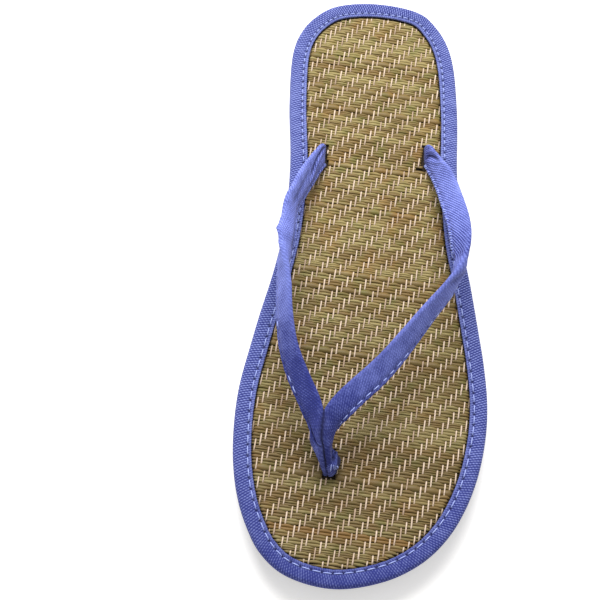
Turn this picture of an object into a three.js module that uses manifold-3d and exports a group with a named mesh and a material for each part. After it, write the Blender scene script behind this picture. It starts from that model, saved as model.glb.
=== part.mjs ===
// A left flat thong sandal with a woven straw footbed.
// Millimetres. +X is the little-toe side, +Y the heel, +Z up.
// The origin lies on the ground under the middle of the sole.

import * as THREE from 'three';
import * as BufferGeometryUtils from 'three/addons/utils/BufferGeometryUtils.js';
import Module from 'manifold-3d';

// Driving dimensions
const soleLength = 263;
const ballWidth = 100.3;
const soleThickness = 9.2;
const soleInset = 2.2;
const soleTaper = 0.8;
const soleEdgeRound = 0.9;
const matThickness = 2.8;
const bindingWidth = 7.2;
const bindingUnderWidth = 6.2;
const bindingHeight = 3.3;
const bindingThickness = 0.8;
const strapWidth = 10.2;
const strapThickness = 2.1;
const strapRise = 22.8;
const strapTail = 5.8;
const tabHeight = 7.6;
const tabLength = 8.4;
const tabReach = 3.4;
const clearance = 0.3;
const slitClearance = 0.6;

// Steps that the curves are drawn with
const outlineSteps = 100;
const stepsPerStation = 2;
const endSteps = 4;
const flatSteps = 4;

// Levels that follow from the sizes above
const halfBall = ballWidth / 2;
const matBottom = soleThickness + clearance;
const matTop = matBottom + matThickness;
const bindingTop = matBottom + bindingHeight;
const edgeRadius = bindingHeight / 2;
const rimThickness = bindingHeight - 2 * (bindingThickness + clearance);

// Outline of the bound edge, one row per cross section.
// along: share of the length from the toe; inner and outer: shares of half the ball width,
// inner towards the big toe (-X) and outer towards the little toe (+X).
const toeTip = { along: 0.0, across: -0.17 };
const heelTip = { along: 1.0, across: -0.005 };
const outlineRows = [
  { along: 0.016, inner: 0.545, outer: 0.232 },
  { along: 0.046, inner: 0.738, outer: 0.509 },
  { along: 0.082, inner: 0.850, outer: 0.693 },
  { along: 0.125, inner: 0.935, outer: 0.827 },
  { along: 0.181, inner: 0.991, outer: 0.934 },
  { along: 0.245, inner: 1.005, outer: 0.995 },
  { along: 0.300, inner: 0.985, outer: 1.005 },
  { along: 0.360, inner: 0.927, outer: 0.975 },
  { along: 0.415, inner: 0.868, outer: 0.928 },
  { along: 0.491, inner: 0.778, outer: 0.858 },
  { along: 0.567, inner: 0.716, outer: 0.780 },
  { along: 0.681, inner: 0.697, outer: 0.730 },
  { along: 0.795, inner: 0.738, outer: 0.720 },
  { along: 0.890, inner: 0.736, outer: 0.676 },
  { along: 0.928, inner: 0.684, outer: 0.622 },
  { along: 0.959, inner: 0.582, outer: 0.532 },
  { along: 0.987, inner: 0.395, outer: 0.382 },
];

// Stations of the two straps, from the slit in the footbed to the toe post.
// across: share of half the ball width; along: share of the length from the toe;
// rise: share of the strap's rise above the mat; the tape's width points from its stitched
// edge to its folded edge, heading degrees round from +X and lean degrees above the level;
// bow: share of the strap width that the middle of the tape stands out of flat.
const outerStrap = [
  { across: 0.464, along: 0.713, rise: 0.05, heading: 90, lean: 0, bow: 0 },
  { across: 0.490, along: 0.705, rise: 0.17, heading: 76, lean: 26, bow: 0 },
  { across: 0.530, along: 0.687, rise: 0.24, heading: 58, lean: 42, bow: 0.02 },
  { across: 0.565, along: 0.670, rise: 0.33, heading: 44, lean: 42, bow: 0.02 },
  { across: 0.602, along: 0.648, rise: 0.42, heading: 29, lean: 38, bow: 0.02 },
  { across: 0.634, along: 0.624, rise: 0.51, heading: 19, lean: 35, bow: 0.02 },
  { across: 0.680, along: 0.581, rise: 0.71, heading: 3, lean: 35, bow: 0.03 },
  { across: 0.698, along: 0.557, rise: 0.80, heading: -5, lean: 40, bow: 0.04 },
  { across: 0.703, along: 0.535, rise: 0.89, heading: -9, lean: 47, bow: 0.04 },
  { across: 0.704, along: 0.514, rise: 0.95, heading: -14, lean: 58, bow: 0.04 },
  { across: 0.702, along: 0.497, rise: 0.99, heading: -28, lean: 72, bow: 0.02 },
  { across: 0.690, along: 0.479, rise: 1.00, heading: -120, lean: 78, bow: 0 },
  { across: 0.650, along: 0.461, rise: 0.98, heading: -160, lean: 64, bow: -0.03 },
  { across: 0.598, along: 0.445, rise: 0.95, heading: -174, lean: 58, bow: -0.05 },
  { across: 0.467, along: 0.411, rise: 0.90, heading: 170, lean: 54, bow: -0.04 },
  { across: 0.333, along: 0.374, rise: 0.87, heading: 161, lean: 46, bow: -0.04 },
  { across: 0.175, along: 0.331, rise: 0.86, heading: 151, lean: 34, bow: -0.04 },
  { across: 0.058, along: 0.304, rise: 0.85, heading: 144, lean: 23, bow: -0.04 },
  { across: -0.052, along: 0.282, rise: 0.84, heading: 140, lean: 17, bow: -0.04 },
  { across: -0.166, along: 0.258, rise: 0.83, heading: 139, lean: 18, bow: -0.04 },
  { across: -0.250, along: 0.236, rise: 0.78, heading: 146, lean: 38, bow: -0.04 },
  { across: -0.268, along: 0.219, rise: 0.67, heading: 176, lean: 60, bow: -0.04 },
  { across: -0.267, along: 0.210, rise: 0.54, heading: 238, lean: 62, bow: -0.03 },
  { across: -0.266, along: 0.202, rise: 0.40, heading: 259, lean: 48, bow: -0.02 },
  { across: -0.245, along: 0.192, rise: 0.19, heading: 266, lean: 26, bow: 0 },
  { across: -0.223, along: 0.187, rise: 0.05, heading: 270, lean: 0, bow: 0 },
];
const innerStrap = [
  { across: -0.428, along: 0.699, rise: 0.05, heading: 90, lean: 0, bow: 0 },
  { across: -0.456, along: 0.690, rise: 0.19, heading: 120, lean: 32, bow: -0.02 },
  { across: -0.511, along: 0.668, rise: 0.26, heading: 148, lean: 47, bow: -0.04 },
  { across: -0.553, along: 0.646, rise: 0.36, heading: 170, lean: 52, bow: -0.05 },
  { across: -0.593, along: 0.626, rise: 0.44, heading: 184, lean: 55, bow: -0.05 },
  { across: -0.629, along: 0.607, rise: 0.53, heading: 194, lean: 56, bow: -0.05 },
  { across: -0.670, along: 0.586, rise: 0.62, heading: 201, lean: 54, bow: -0.06 },
  { across: -0.693, along: 0.562, rise: 0.72, heading: 202, lean: 46, bow: -0.08 },
  { across: -0.705, along: 0.540, rise: 0.81, heading: 201, lean: 37, bow: -0.11 },
  { across: -0.703, along: 0.519, rise: 0.88, heading: 206, lean: 42, bow: -0.12 },
  { across: -0.710, along: 0.497, rise: 0.92, heading: 222, lean: 52, bow: -0.10 },
  { across: -0.713, along: 0.477, rise: 0.94, heading: 275, lean: 66, bow: -0.04 },
  { across: -0.710, along: 0.457, rise: 0.93, heading: 320, lean: 60, bow: 0.03 },
  { across: -0.696, along: 0.430, rise: 0.92, heading: 331, lean: 56, bow: 0.05 },
  { across: -0.686, along: 0.403, rise: 0.90, heading: 335, lean: 55, bow: 0.05 },
  { across: -0.664, along: 0.371, rise: 0.88, heading: 341, lean: 53, bow: 0.05 },
  { across: -0.636, along: 0.344, rise: 0.86, heading: 354, lean: 51, bow: 0.04 },
  { across: -0.590, along: 0.317, rise: 0.84, heading: 372, lean: 48, bow: 0.04 },
  { across: -0.520, along: 0.287, rise: 0.82, heading: 381, lean: 43, bow: 0.04 },
  { across: -0.436, along: 0.255, rise: 0.80, heading: 388, lean: 44, bow: 0.04 },
  { across: -0.396, along: 0.235, rise: 0.74, heading: 390, lean: 54, bow: 0.04 },
  { across: -0.384, along: 0.219, rise: 0.65, heading: 376, lean: 62, bow: 0.06 },
  { across: -0.374, along: 0.210, rise: 0.53, heading: 322, lean: 62, bow: 0.10 },
  { across: -0.340, along: 0.202, rise: 0.40, heading: 285, lean: 48, bow: 0.13 },
  { across: -0.297, along: 0.192, rise: 0.19, heading: 274, lean: 26, bow: 0.06 },
  { across: -0.262, along: 0.187, rise: 0.05, heading: 270, lean: 0, bow: 0 },
];
// The sewn end of the straps beside the foot of the toe post.
const tabPlace = { across: -0.212, along: 0.186 };

function lengthwise(along) {
  return (along - 0.5) * soleLength;
}

// Edge outline

function outlineCurve() {
  const points = [new THREE.Vector3(toeTip.across * halfBall, lengthwise(toeTip.along), 0)];
  for (const row of outlineRows) {
    points.push(new THREE.Vector3(row.outer * halfBall, lengthwise(row.along), 0));
  }
  points.push(new THREE.Vector3(heelTip.across * halfBall, lengthwise(heelTip.along), 0));
  for (const row of [...outlineRows].reverse()) {
    points.push(new THREE.Vector3(-row.inner * halfBall, lengthwise(row.along), 0));
  }
  return new THREE.CatmullRomCurve3(points, true, 'centripetal');
}

// Points on the outline with the direction that leads inwards from each.
function outlinePoints() {
  const curve = outlineCurve();
  curve.arcLengthDivisions = 1200;
  const points = [];
  for (let i = 0; i < outlineSteps; i += 1) {
    const at = i / outlineSteps;
    const place = curve.getPointAt(at);
    const heading = curve.getTangentAt(at);
    points.push({ x: place.x, y: place.y, inX: -heading.y, inY: heading.x });
  }
  return points;
}

const outline = outlinePoints();

// One closed ring of vertices at a depth inside the outline and at a height.
function ring(inset, height) {
  return outline.map((point) => new THREE.Vector3(
    point.x + point.inX * inset,
    point.y + point.inY * inset,
    height,
  ));
}

// Meshes from rings of vertices

function geometryOf(vertices, triangles) {
  const geometry = new THREE.BufferGeometry();
  const positions = vertices.flatMap((vertex) => [vertex.x, vertex.y, vertex.z]);
  geometry.setAttribute('position', new THREE.Float32BufferAttribute(positions, 3));
  geometry.setIndex(triangles);
  return geometry;
}

function skinRings(rings, closedAlong, triangles) {
  const size = rings[0].length;
  const spans = closedAlong ? rings.length : rings.length - 1;
  for (let r = 0; r < spans; r += 1) {
    const here = r * size;
    const next = ((r + 1) % rings.length) * size;
    for (let i = 0; i < size; i += 1) {
      const j = (i + 1) % size;
      triangles.push(here + i, here + j, next + j, here + i, next + j, next + i);
    }
  }
}

// A body of rings that follow the outline, with a flat cap below and above.
function stackedBody(rings) {
  const vertices = rings.flat();
  const size = rings[0].length;
  const triangles = [];
  skinRings(rings, false, triangles);
  const flatCap = (loop) => THREE.ShapeUtils.triangulateShape(
    loop.map((vertex) => new THREE.Vector2(vertex.x, vertex.y)),
    [],
  );
  const last = (rings.length - 1) * size;
  for (const [a, b, c] of flatCap(rings[0])) {
    triangles.push(a, c, b);
  }
  for (const [a, b, c] of flatCap(rings[rings.length - 1])) {
    triangles.push(last + a, last + b, last + c);
  }
  return geometryOf(vertices, triangles);
}

// A section swept round the outline; section points are { inset, height } in a closed loop.
function sweptAroundOutline(section) {
  const rings = section.map((point) => ring(point.inset, point.height));
  const triangles = [];
  skinRings(rings, true, triangles);
  return geometryOf(rings.flat(), triangles);
}

// Straps

function widthDirection(station) {
  const heading = THREE.MathUtils.degToRad(station.heading);
  const lean = THREE.MathUtils.degToRad(station.lean);
  return new THREE.Vector3(
    Math.cos(lean) * Math.cos(heading),
    Math.cos(lean) * Math.sin(heading),
    Math.sin(lean),
  );
}

// Closed section of the tape: flat faces and round edges, u across it and v out of its face.
function tapeSection(width, thickness) {
  const radius = thickness / 2;
  const flat = width / 2 - radius;
  const points = [];
  for (const side of [1, -1]) {
    for (let i = 0; i < flatSteps; i += 1) {
      points.push({ u: side * (-flat + (2 * flat * i) / flatSteps), v: -side * radius });
    }
    for (let i = 0; i < endSteps; i += 1) {
      const turn = (Math.PI * i) / endSteps;
      points.push({
        u: side * (flat + radius * Math.sin(turn)),
        v: -side * radius * Math.cos(turn),
      });
    }
  }
  return points;
}

function tapeRing(place, along, across, bow, section, width) {
  const face = new THREE.Vector3().crossVectors(along, across).normalize();
  const side = new THREE.Vector3().crossVectors(face, along).normalize();
  return section.map((point) => {
    const share = (2 * point.u) / width;
    const out = point.v + bow * strapWidth * (1 - share * share);
    return place.clone().addScaledVector(side, point.u).addScaledVector(face, out);
  });
}

// Rings of one section joined into a body with a cap at each end.
function cappedTape(rings, section) {
  const triangles = [];
  skinRings(rings, false, triangles);
  const last = (rings.length - 1) * section.length;
  const cap = THREE.ShapeUtils.triangulateShape(
    section.map((point) => new THREE.Vector2(point.u, point.v)),
    [],
  );
  for (const [a, b, c] of cap) {
    triangles.push(a, c, b);
    triangles.push(last + a, last + b, last + c);
  }
  return geometryOf(rings.flat(), triangles);
}

// A tape laid through its stations, with a tail down into the sole at each end.
function tapeBody(stations) {
  const section = tapeSection(strapWidth, strapThickness);
  const drop = -strapTail / strapRise;
  const first = stations[0];
  const final = stations[stations.length - 1];
  const rows = [
    { ...first, rise: drop },
    { ...first, rise: drop / 2 },
    ...stations,
    { ...final, rise: drop / 2 },
    { ...final, rise: drop },
  ];
  const places = rows.map((row) => new THREE.Vector3(
    row.across * halfBall,
    lengthwise(row.along),
    matTop + row.rise * strapRise,
  ));
  const path = new THREE.CatmullRomCurve3(places, false, 'centripetal');
  const widths = new THREE.CatmullRomCurve3(rows.map(widthDirection), false, 'chordal');
  const bows = new THREE.SplineCurve(rows.map((row, i) => new THREE.Vector2(i, row.bow)));
  const count = (rows.length - 1) * stepsPerStation;
  const rings = [];
  for (let i = 0; i <= count; i += 1) {
    const at = i / count;
    const across = widths.getPoint(at).normalize();
    const bow = bows.getPoint(at).y;
    rings.push(tapeRing(path.getPoint(at), path.getTangent(at), across, bow, section, strapWidth));
  }
  return cappedTape(rings, section);
}

// The straight slit that the ends of one tape, or of two side by side, go down through.
function slitBody(ends) {
  const middle = ends.reduce((sum, end) => sum + end.across, 0) / ends.length;
  const spread = Math.abs(ends[0].across - ends[ends.length - 1].across) * halfBall;
  const width = strapWidth + spread + 2 * slitClearance;
  const section = tapeSection(width, strapThickness + spread + 2 * slitClearance);
  const up = new THREE.Vector3(0, 0, 1);
  const across = widthDirection(ends[0]);
  const rings = [matTop - strapTail - clearance, matTop + slitClearance].map((height) => {
    const place = new THREE.Vector3(middle * halfBall, lengthwise(ends[0].along), height);
    return tapeRing(place, up, across, 0, section, width);
  });
  return cappedTape(rings, section);
}

// Joining and cutting

const wasm = await Module();
wasm.setup();

function solidOf(geometry) {
  const plain = geometry.clone();
  plain.deleteAttribute('normal');
  plain.deleteAttribute('uv');
  const merged = BufferGeometryUtils.mergeVertices(plain, 1e-4);
  return new wasm.Manifold(new wasm.Mesh({
    numProp: 3,
    vertProperties: new Float32Array(merged.attributes.position.array),
    triVerts: new Uint32Array(merged.index.array),
  }));
}

function geometryFrom(solid) {
  const mesh = solid.getMesh();
  const geometry = new THREE.BufferGeometry();
  geometry.setAttribute('position', new THREE.BufferAttribute(mesh.vertProperties, 3));
  geometry.setIndex(new THREE.BufferAttribute(mesh.triVerts, 1));
  return geometry;
}

// Outsole: one slab of foam, its wall leaning in a little towards the softened edge below.
const soleRings = [
  ring(soleInset + soleTaper + soleEdgeRound, 0),
  ring(soleInset + soleTaper + soleEdgeRound * 0.3, soleEdgeRound * 0.3),
  ring(soleInset + soleTaper, soleEdgeRound),
  ring(soleInset, soleThickness),
];

// Footbed: the mat, pressed thinner at its rim where the binding wraps round it.
const rimInset = bindingThickness + clearance;
const rimBottom = matBottom + bindingThickness + clearance;
const rimTop = rimBottom + rimThickness;
const underStep = bindingUnderWidth + clearance;
const topStep = bindingWidth + clearance;
const matRings = [
  ring(underStep, matBottom),
  ring(underStep, rimBottom),
  ring(rimInset + rimThickness / 2, rimBottom),
  ring(rimInset, rimBottom + rimThickness / 2),
  ring(rimInset + rimThickness / 2, rimTop),
  ring(topStep, rimTop),
  ring(topStep, matTop),
];

// Binding: a folded tape with a round outer edge, open towards the middle of the mat.
function bindingSection() {
  const outerArc = [];
  const innerArc = [];
  const arcSteps = 6;
  const innerRadius = edgeRadius - bindingThickness;
  for (let i = 0; i <= arcSteps; i += 1) {
    const turn = Math.PI * (-0.5 + i / arcSteps);
    outerArc.push({
      inset: edgeRadius - edgeRadius * Math.cos(turn),
      height: matBottom + edgeRadius + edgeRadius * Math.sin(turn),
    });
    innerArc.push({
      inset: edgeRadius - innerRadius * Math.cos(turn),
      height: matBottom + edgeRadius + innerRadius * Math.sin(turn),
    });
  }
  const lip = bindingThickness / 2;
  return [
    { inset: bindingUnderWidth, height: matBottom },
    ...outerArc,
    { inset: bindingWidth - lip, height: bindingTop },
    { inset: bindingWidth, height: bindingTop - lip },
    { inset: bindingWidth, height: bindingTop - bindingThickness },
    ...innerArc.reverse(),
    { inset: bindingUnderWidth, height: matBottom + bindingThickness },
  ];
}

// Thong straps: both tapes and the sewn end beside the toe post, joined into one upper.
function tabGeometry() {
  const geometry = new THREE.SphereGeometry(1, 14, 10);
  geometry.rotateX(Math.PI / 2);
  geometry.scale(tabReach / 2, tabLength / 2, tabHeight);
  geometry.translate(tabPlace.across * halfBall + tabReach / 3, lengthwise(tabPlace.along), matTop);
  return geometry;
}

function roomAbove(height) {
  const room = new THREE.BoxGeometry(ballWidth, soleLength, strapRise * 3);
  room.translate(0, 0, height + strapRise * 1.5);
  return solidOf(room);
}

const outerTape = solidOf(tapeBody(outerStrap));
const innerTape = solidOf(tapeBody(innerStrap));
const sewnEnd = solidOf(tabGeometry()).intersect(roomAbove(matTop + clearance));
const upperSolid = outerTape.add(innerTape).add(sewnEnd);

// The slits go through the mat and down into the foam, one for each strap and one for the post.
const postEnds = [outerStrap[outerStrap.length - 1], innerStrap[innerStrap.length - 1]];
const slits = [[outerStrap[0]], [innerStrap[0]], postEnds]
  .map((ends) => solidOf(slitBody(ends)))
  .reduce((all, slit) => all.add(slit));

const matSolid = solidOf(stackedBody(matRings)).subtract(slits);
const soleSolid = solidOf(stackedBody(soleRings)).subtract(slits);

// Assembly
const sandal = new THREE.Group();

function addPart(name, geometry, look) {
  const mesh = new THREE.Mesh(geometry, new THREE.MeshStandardMaterial(look));
  mesh.name = name;
  sandal.add(mesh);
}

const foam = { color: 0x171614, roughness: 0.85, metalness: 0 };
const straw = { color: 0xa08f5a, roughness: 0.7, metalness: 0 };
const twill = { color: 0x5e69c2, roughness: 0.9, metalness: 0 };

addPart('outsole', geometryFrom(soleSolid), foam);
addPart('footbed', geometryFrom(matSolid), straw);
addPart('edge_binding', sweptAroundOutline(bindingSection()), twill);
addPart('thong_upper', geometryFrom(upperSolid), twill);

export default sandal;
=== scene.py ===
import math
import random
from collections import namedtuple

import bmesh
import bpy
import numpy as np
from mathutils import Matrix, Vector
from mathutils.kdtree import KDTree


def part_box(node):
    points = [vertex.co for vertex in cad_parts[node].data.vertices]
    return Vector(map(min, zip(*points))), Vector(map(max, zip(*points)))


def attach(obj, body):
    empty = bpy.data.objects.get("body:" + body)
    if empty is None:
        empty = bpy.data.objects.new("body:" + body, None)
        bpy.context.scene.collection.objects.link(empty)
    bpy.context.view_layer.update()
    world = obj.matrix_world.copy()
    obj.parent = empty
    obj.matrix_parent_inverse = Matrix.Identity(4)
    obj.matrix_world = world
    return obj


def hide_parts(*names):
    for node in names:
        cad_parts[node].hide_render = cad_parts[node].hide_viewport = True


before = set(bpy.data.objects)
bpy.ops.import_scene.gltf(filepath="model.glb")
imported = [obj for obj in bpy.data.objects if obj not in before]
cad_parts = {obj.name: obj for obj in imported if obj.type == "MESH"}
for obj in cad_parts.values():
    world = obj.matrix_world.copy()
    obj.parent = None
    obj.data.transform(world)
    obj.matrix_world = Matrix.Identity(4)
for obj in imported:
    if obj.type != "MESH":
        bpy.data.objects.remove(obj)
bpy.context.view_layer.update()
mm = 0.001

# Camera
# A long lens looks down from above the toe end, as for a picture in a shop's list.
# The frame is square, and the sensor's 36 mm fill it.
camera_place = Vector((-0.05193, -0.24940, 0.57785))
camera_right = Vector((0.99619, 0.05619, 0.06669))
camera_up = Vector((-0.07741, 0.92187, 0.37969))

lens = bpy.data.cameras.new("studio_lens")
lens.lens = 90
lens.sensor_width = 36
camera = bpy.data.objects.new("studio_camera", lens)
bpy.context.scene.collection.objects.link(camera)
turn = Matrix((camera_right, camera_up, camera_right.cross(camera_up))).transposed()
camera.matrix_world = Matrix.Translation(camera_place) @ turn.to_4x4()
bpy.context.scene.camera = camera
bpy.context.scene.view_settings.view_transform = "Standard"

# Studio light
# One broad soft box stands behind the heel and leans over it, so the toe end and the straps'
# outer faces are darker, and white walls fill the rest.
wall_light = 0.45
box_place = Vector((-0.15, 0.75, 0.85))
box_size = 0.80
box_power = 18.5

world = bpy.data.worlds.new("white_walls")
bpy.context.scene.world = world
world.use_nodes = True
world.node_tree.nodes["Background"].inputs["Color"].default_value = (1, 1, 1, 1)
world.node_tree.nodes["Background"].inputs["Strength"].default_value = wall_light

soft_box = bpy.data.lights.new("soft_box", "AREA")
soft_box.size = box_size
soft_box.energy = box_power
soft_box_stand = bpy.data.objects.new("soft_box", soft_box)
bpy.context.scene.collection.objects.link(soft_box_stand)
soft_box_stand.location = box_place
soft_box_stand.rotation_euler = (-box_place).to_track_quat("-Z", "Y").to_euler()

# Studio floor
# A sheet of white paper: matt and even, with only a trace of tooth. The paper itself glows a
# little, a painted light that keeps the shadow pale.
floor_half = 1.6
paper_white = "#FBFAF8"
paper_glow = 0.42


def linear(colour):
    """An sRGB hex colour as linear red, green, blue and alpha."""
    parts = [int(colour[i:i + 2], 16) / 255 for i in (1, 3, 5)]
    return [part / 12.92 if part <= 0.04045 else ((part + 0.055) / 1.055) ** 2.4 for part in parts] + [1.0]


def node(material, kind, inputs=None, **settings):
    """Adds a node with its settings; an input takes a number, a colour or another node's socket."""
    made = material.node_tree.nodes.new("ShaderNode" + kind)
    for name, value in settings.items():
        setattr(made, name, value)
    for place, value in (inputs or {}).items():
        if isinstance(value, bpy.types.NodeSocket):
            material.node_tree.links.new(value, made.inputs[place])
        else:
            made.inputs[place].default_value = value
    return made


def new_material(name):
    material = bpy.data.materials.new(name)
    material.use_nodes = True
    material.node_tree.nodes.clear()
    return material


def finish_material(material, **sockets):
    """The surface shader; each socket's name is written with _ for a space."""
    named = {name.replace("_", " "): value for name, value in sockets.items()}
    surface = node(material, "BsdfPrincipled", named)
    node(material, "OutputMaterial", {"Surface": surface.outputs[0]})


def blend_colour(material, share, first, second):
    """One colour at share 0 and another at 1."""
    return node(material, "Mix", {0: share, 6: first, 7: second}, data_type="RGBA").outputs[2]


def noise(material, place, scale, detail):
    """Cloudy noise from 0 to 1; scale is how many blotches there are to the metre."""
    return node(material, "TexNoise", {"Vector": place, "Scale": scale, "Detail": detail}).outputs[0]


def bump(material, height, strength, depth):
    """Small relief for a shader's normal; depth is in metres."""
    return node(material, "Bump", {"Height": height, "Strength": strength, "Distance": depth}).outputs[0]


paper = new_material("white_paper_pressed")
tooth = noise(paper, node(paper, "TexCoord").outputs["Object"], 900.0, 3.0)
finish_material(paper, Base_Color=linear(paper_white), Roughness=0.9,
                Normal=bump(paper, tooth, 0.05, 0.0002),
                Emission_Color=linear(paper_white), Emission_Strength=paper_glow)

floor_mesh = bpy.data.meshes.new("paper_floor")
floor_corners = [(x * floor_half, y * floor_half, 0) for x, y in ((-1, -1), (1, -1), (1, 1), (-1, 1))]
floor_mesh.from_pydata(floor_corners, [], [(0, 1, 2, 3)])
floor_mesh.materials.append(paper)
floor = bpy.data.objects.new("paper_floor", floor_mesh)
bpy.context.scene.collection.objects.link(floor)

# Foam sole
# One slab of black EVA foam, cut out with a die, so its wall is matt and a little uneven.
# Its lower edge is rounded by wear, and it is glued under the bound mat.
sole_length = 263.0
ball_width = 100.3
sole_low, sole_high = (corner.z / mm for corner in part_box("outsole"))
sole_inset = 2.2
sole_taper = 0.8
sole_edge_round = 0.9
sole_steps = 420
wall_wobble = 0.09
half_ball = ball_width / 2
foam_black = "#1B1917"
foam_grey = "#2B2826"
foam_cell = 0.35

# Outline of the bound edge: along is the share of the length from the toe, inner and outer are
# shares of half the ball width, towards the big toe (-X) and the little toe (+X). Each tip has
# its share towards the little toe first.
EdgeRow = namedtuple("EdgeRow", "along inner outer")
toe_tip = (-0.17, 0.0)
heel_tip = (-0.005, 1.0)
edge_rows = [EdgeRow(*row) for row in (
    (0.016, 0.545, 0.232),
    (0.046, 0.738, 0.509),
    (0.082, 0.850, 0.693),
    (0.125, 0.935, 0.827),
    (0.181, 0.991, 0.934),
    (0.245, 1.005, 0.995),
    (0.300, 0.985, 1.005),
    (0.360, 0.927, 0.975),
    (0.415, 0.868, 0.928),
    (0.491, 0.778, 0.858),
    (0.567, 0.716, 0.780),
    (0.681, 0.697, 0.730),
    (0.795, 0.738, 0.720),
    (0.890, 0.736, 0.676),
    (0.928, 0.684, 0.622),
    (0.959, 0.582, 0.532),
    (0.987, 0.395, 0.382),
)]


def curve_through(stops, steps, closed=False, power=0.5):
    """Points on a smooth curve through the stops, with this many steps in each span."""
    stops = [np.asarray(stop, float) for stop in stops]
    if closed:
        ring = [stops[-1], *stops, stops[0], stops[1]]
    else:
        ring = [2 * stops[0] - stops[1], *stops, 2 * stops[-1] - stops[-2]]
    share = np.linspace(0, 1, steps, endpoint=False)[:, None]
    spans = []
    for before, start, end, after in zip(ring, ring[1:], ring[2:], ring[3:]):
        middle = np.linalg.norm(end - start) ** power or 1.0
        first = np.linalg.norm(start - before) ** power or middle
        last = np.linalg.norm(after - end) ** power or middle
        leave = (start - before) / first - (end - before) / (first + middle) + (end - start) / middle
        arrive = (end - start) / middle - (after - start) / (middle + last) + (after - end) / last
        leave = leave * middle
        arrive = arrive * middle
        bend = 2 * start - 2 * end + leave + arrive
        pull = -3 * start + 3 * end - 2 * leave - arrive
        spans.append(start + leave * share + pull * share**2 + bend * share**3)
    points = np.vstack(spans)
    if closed:
        return points
    return np.vstack([points, stops[-1]])


def unit(vectors):
    """The same directions, each 1 long."""
    return vectors / np.linalg.norm(vectors, axis=-1, keepdims=True)


def distances(line):
    """How far along a line each of its points lies."""
    return np.concatenate([[0], np.cumsum(np.linalg.norm(np.diff(line, axis=0), axis=1))])


def point_along(at, along, line):
    """The point of a line at a distance along it, or its points at several."""
    return np.stack([np.interp(at, along, column) for column in line.T], axis=-1)


def edge_outline(count):
    """Evenly spaced points on the outline with the direction inwards from each, and its length."""
    shares = [toe_tip] + [(row.outer, row.along) for row in edge_rows] + [heel_tip]
    shares += [(-row.inner, row.along) for row in reversed(edge_rows)]
    stops = [(across * half_ball, (along - 0.5) * sole_length) for across, along in shares]
    dense = curve_through(stops, 60, closed=True)
    loop = np.vstack([dense, dense[:1]])
    along = distances(loop)
    points = point_along(np.linspace(0, along[-1], count, endpoint=False), along, loop)
    heading = unit(np.roll(points, -1, axis=0) - np.roll(points, 1, axis=0))
    inward = np.column_stack([-heading[:, 1], heading[:, 0]])
    return points, inward, along[-1]


def skin(rings, closed_along=False, along=None, across=None):
    """Points, faces and face-corner places of a tube through rings of points."""
    rings = np.asarray(rings, float)
    count, size = rings.shape[:2]
    spans = count if closed_along else count - 1
    r, s = np.meshgrid(np.arange(spans), np.arange(size), indexing="ij")
    corner_r = np.stack([r, r, r + 1, r + 1], axis=-1).reshape(-1, 4)
    corner_s = np.stack([s, s + 1, s + 1, s], axis=-1).reshape(-1, 4)
    faces = ((corner_r % count) * size + corner_s % size).tolist()
    places = []
    if along is not None:
        places = [np.stack([along[corner_r], across[corner_s]], axis=-1).reshape(-1, 2)]
    if not closed_along:
        for end in (0, count - 1):
            faces.append(list(range(end * size, (end + 1) * size)))
            if along is not None:
                places.append(np.column_stack([np.full(size, along[end]), across[:size]]))
    return rings.reshape(-1, 3), faces, np.vstack(places) if places else None


def make_piece(name, parts, material, marks=None):
    """One smooth object from parts made by skin(), in mm, with named numbers kept at its points."""
    faces = []
    start = 0
    for points, part_faces, _ in parts:
        faces += [[i + start for i in face] for face in part_faces]
        start += len(points)
    mesh = bpy.data.meshes.new(name)
    mesh.from_pydata(np.vstack([part[0] for part in parts]) * mm, [], faces)
    for mark, values in (marks or {}).items():
        kept = mesh.attributes.new(mark, "FLOAT", "POINT")
        kept.data.foreach_set("value", np.asarray(values, np.float32))
    if parts[0][2] is not None:
        layer = mesh.uv_layers.new(name="tape")
        layer.uv.foreach_set("vector", np.vstack([part[2] for part in parts]).astype(np.float32).ravel())
    tidy = bmesh.new()
    tidy.from_mesh(mesh)
    bmesh.ops.recalc_face_normals(tidy, faces=tidy.faces)
    tidy.to_mesh(mesh)
    tidy.free()
    mesh.shade_smooth()
    mesh.materials.append(material)
    piece = bpy.data.objects.new(name, mesh)
    bpy.context.scene.collection.objects.link(piece)
    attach(piece, "root")
    return piece


def foam_sole():
    points, inward, _ = edge_outline(sole_steps)
    turn_share = np.linspace(0, 2 * math.pi, sole_steps, endpoint=False)
    wobble = wall_wobble * (np.sin(31 * turn_share) + np.sin(53 * turn_share + 1.3) * 0.6)
    profile = [
        (sole_taper + sole_edge_round * 1.6, sole_low, 0.0),
        (sole_taper + sole_edge_round, sole_low, 0.0),
        (sole_taper + sole_edge_round * 0.45, sole_low + sole_edge_round * 0.12, 0.4),
        (sole_taper + sole_edge_round * 0.12, sole_low + sole_edge_round * 0.45, 0.8),
        (sole_taper, sole_low + sole_edge_round, 1.0),
        (sole_taper * 0.5, (sole_low + sole_high) / 2, 1.0),
        (0.06, sole_high - 0.25, 0.6),
        (0.25, sole_high, 0.3),
        (1.2, sole_high, 0.0),
    ]
    rings = []
    for inset, height, share in profile:
        step_in = sole_inset + inset + np.maximum(wobble * share, -0.05)
        ring = points + inward * step_in[:, None]
        rings.append(np.column_stack([ring, np.full(sole_steps, height)]))
    return skin(rings)


def ranged(material, value, low, high, least=0.0, most=1.0):
    """Turns low to high into least to most, and stays within them."""
    return node(material, "MapRange", {"Value": value, "From Min": low, "From Max": high,
                                       "To Min": least, "To Max": most}).outputs[0]


foam = new_material("eva_foam_die_cut")
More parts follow.
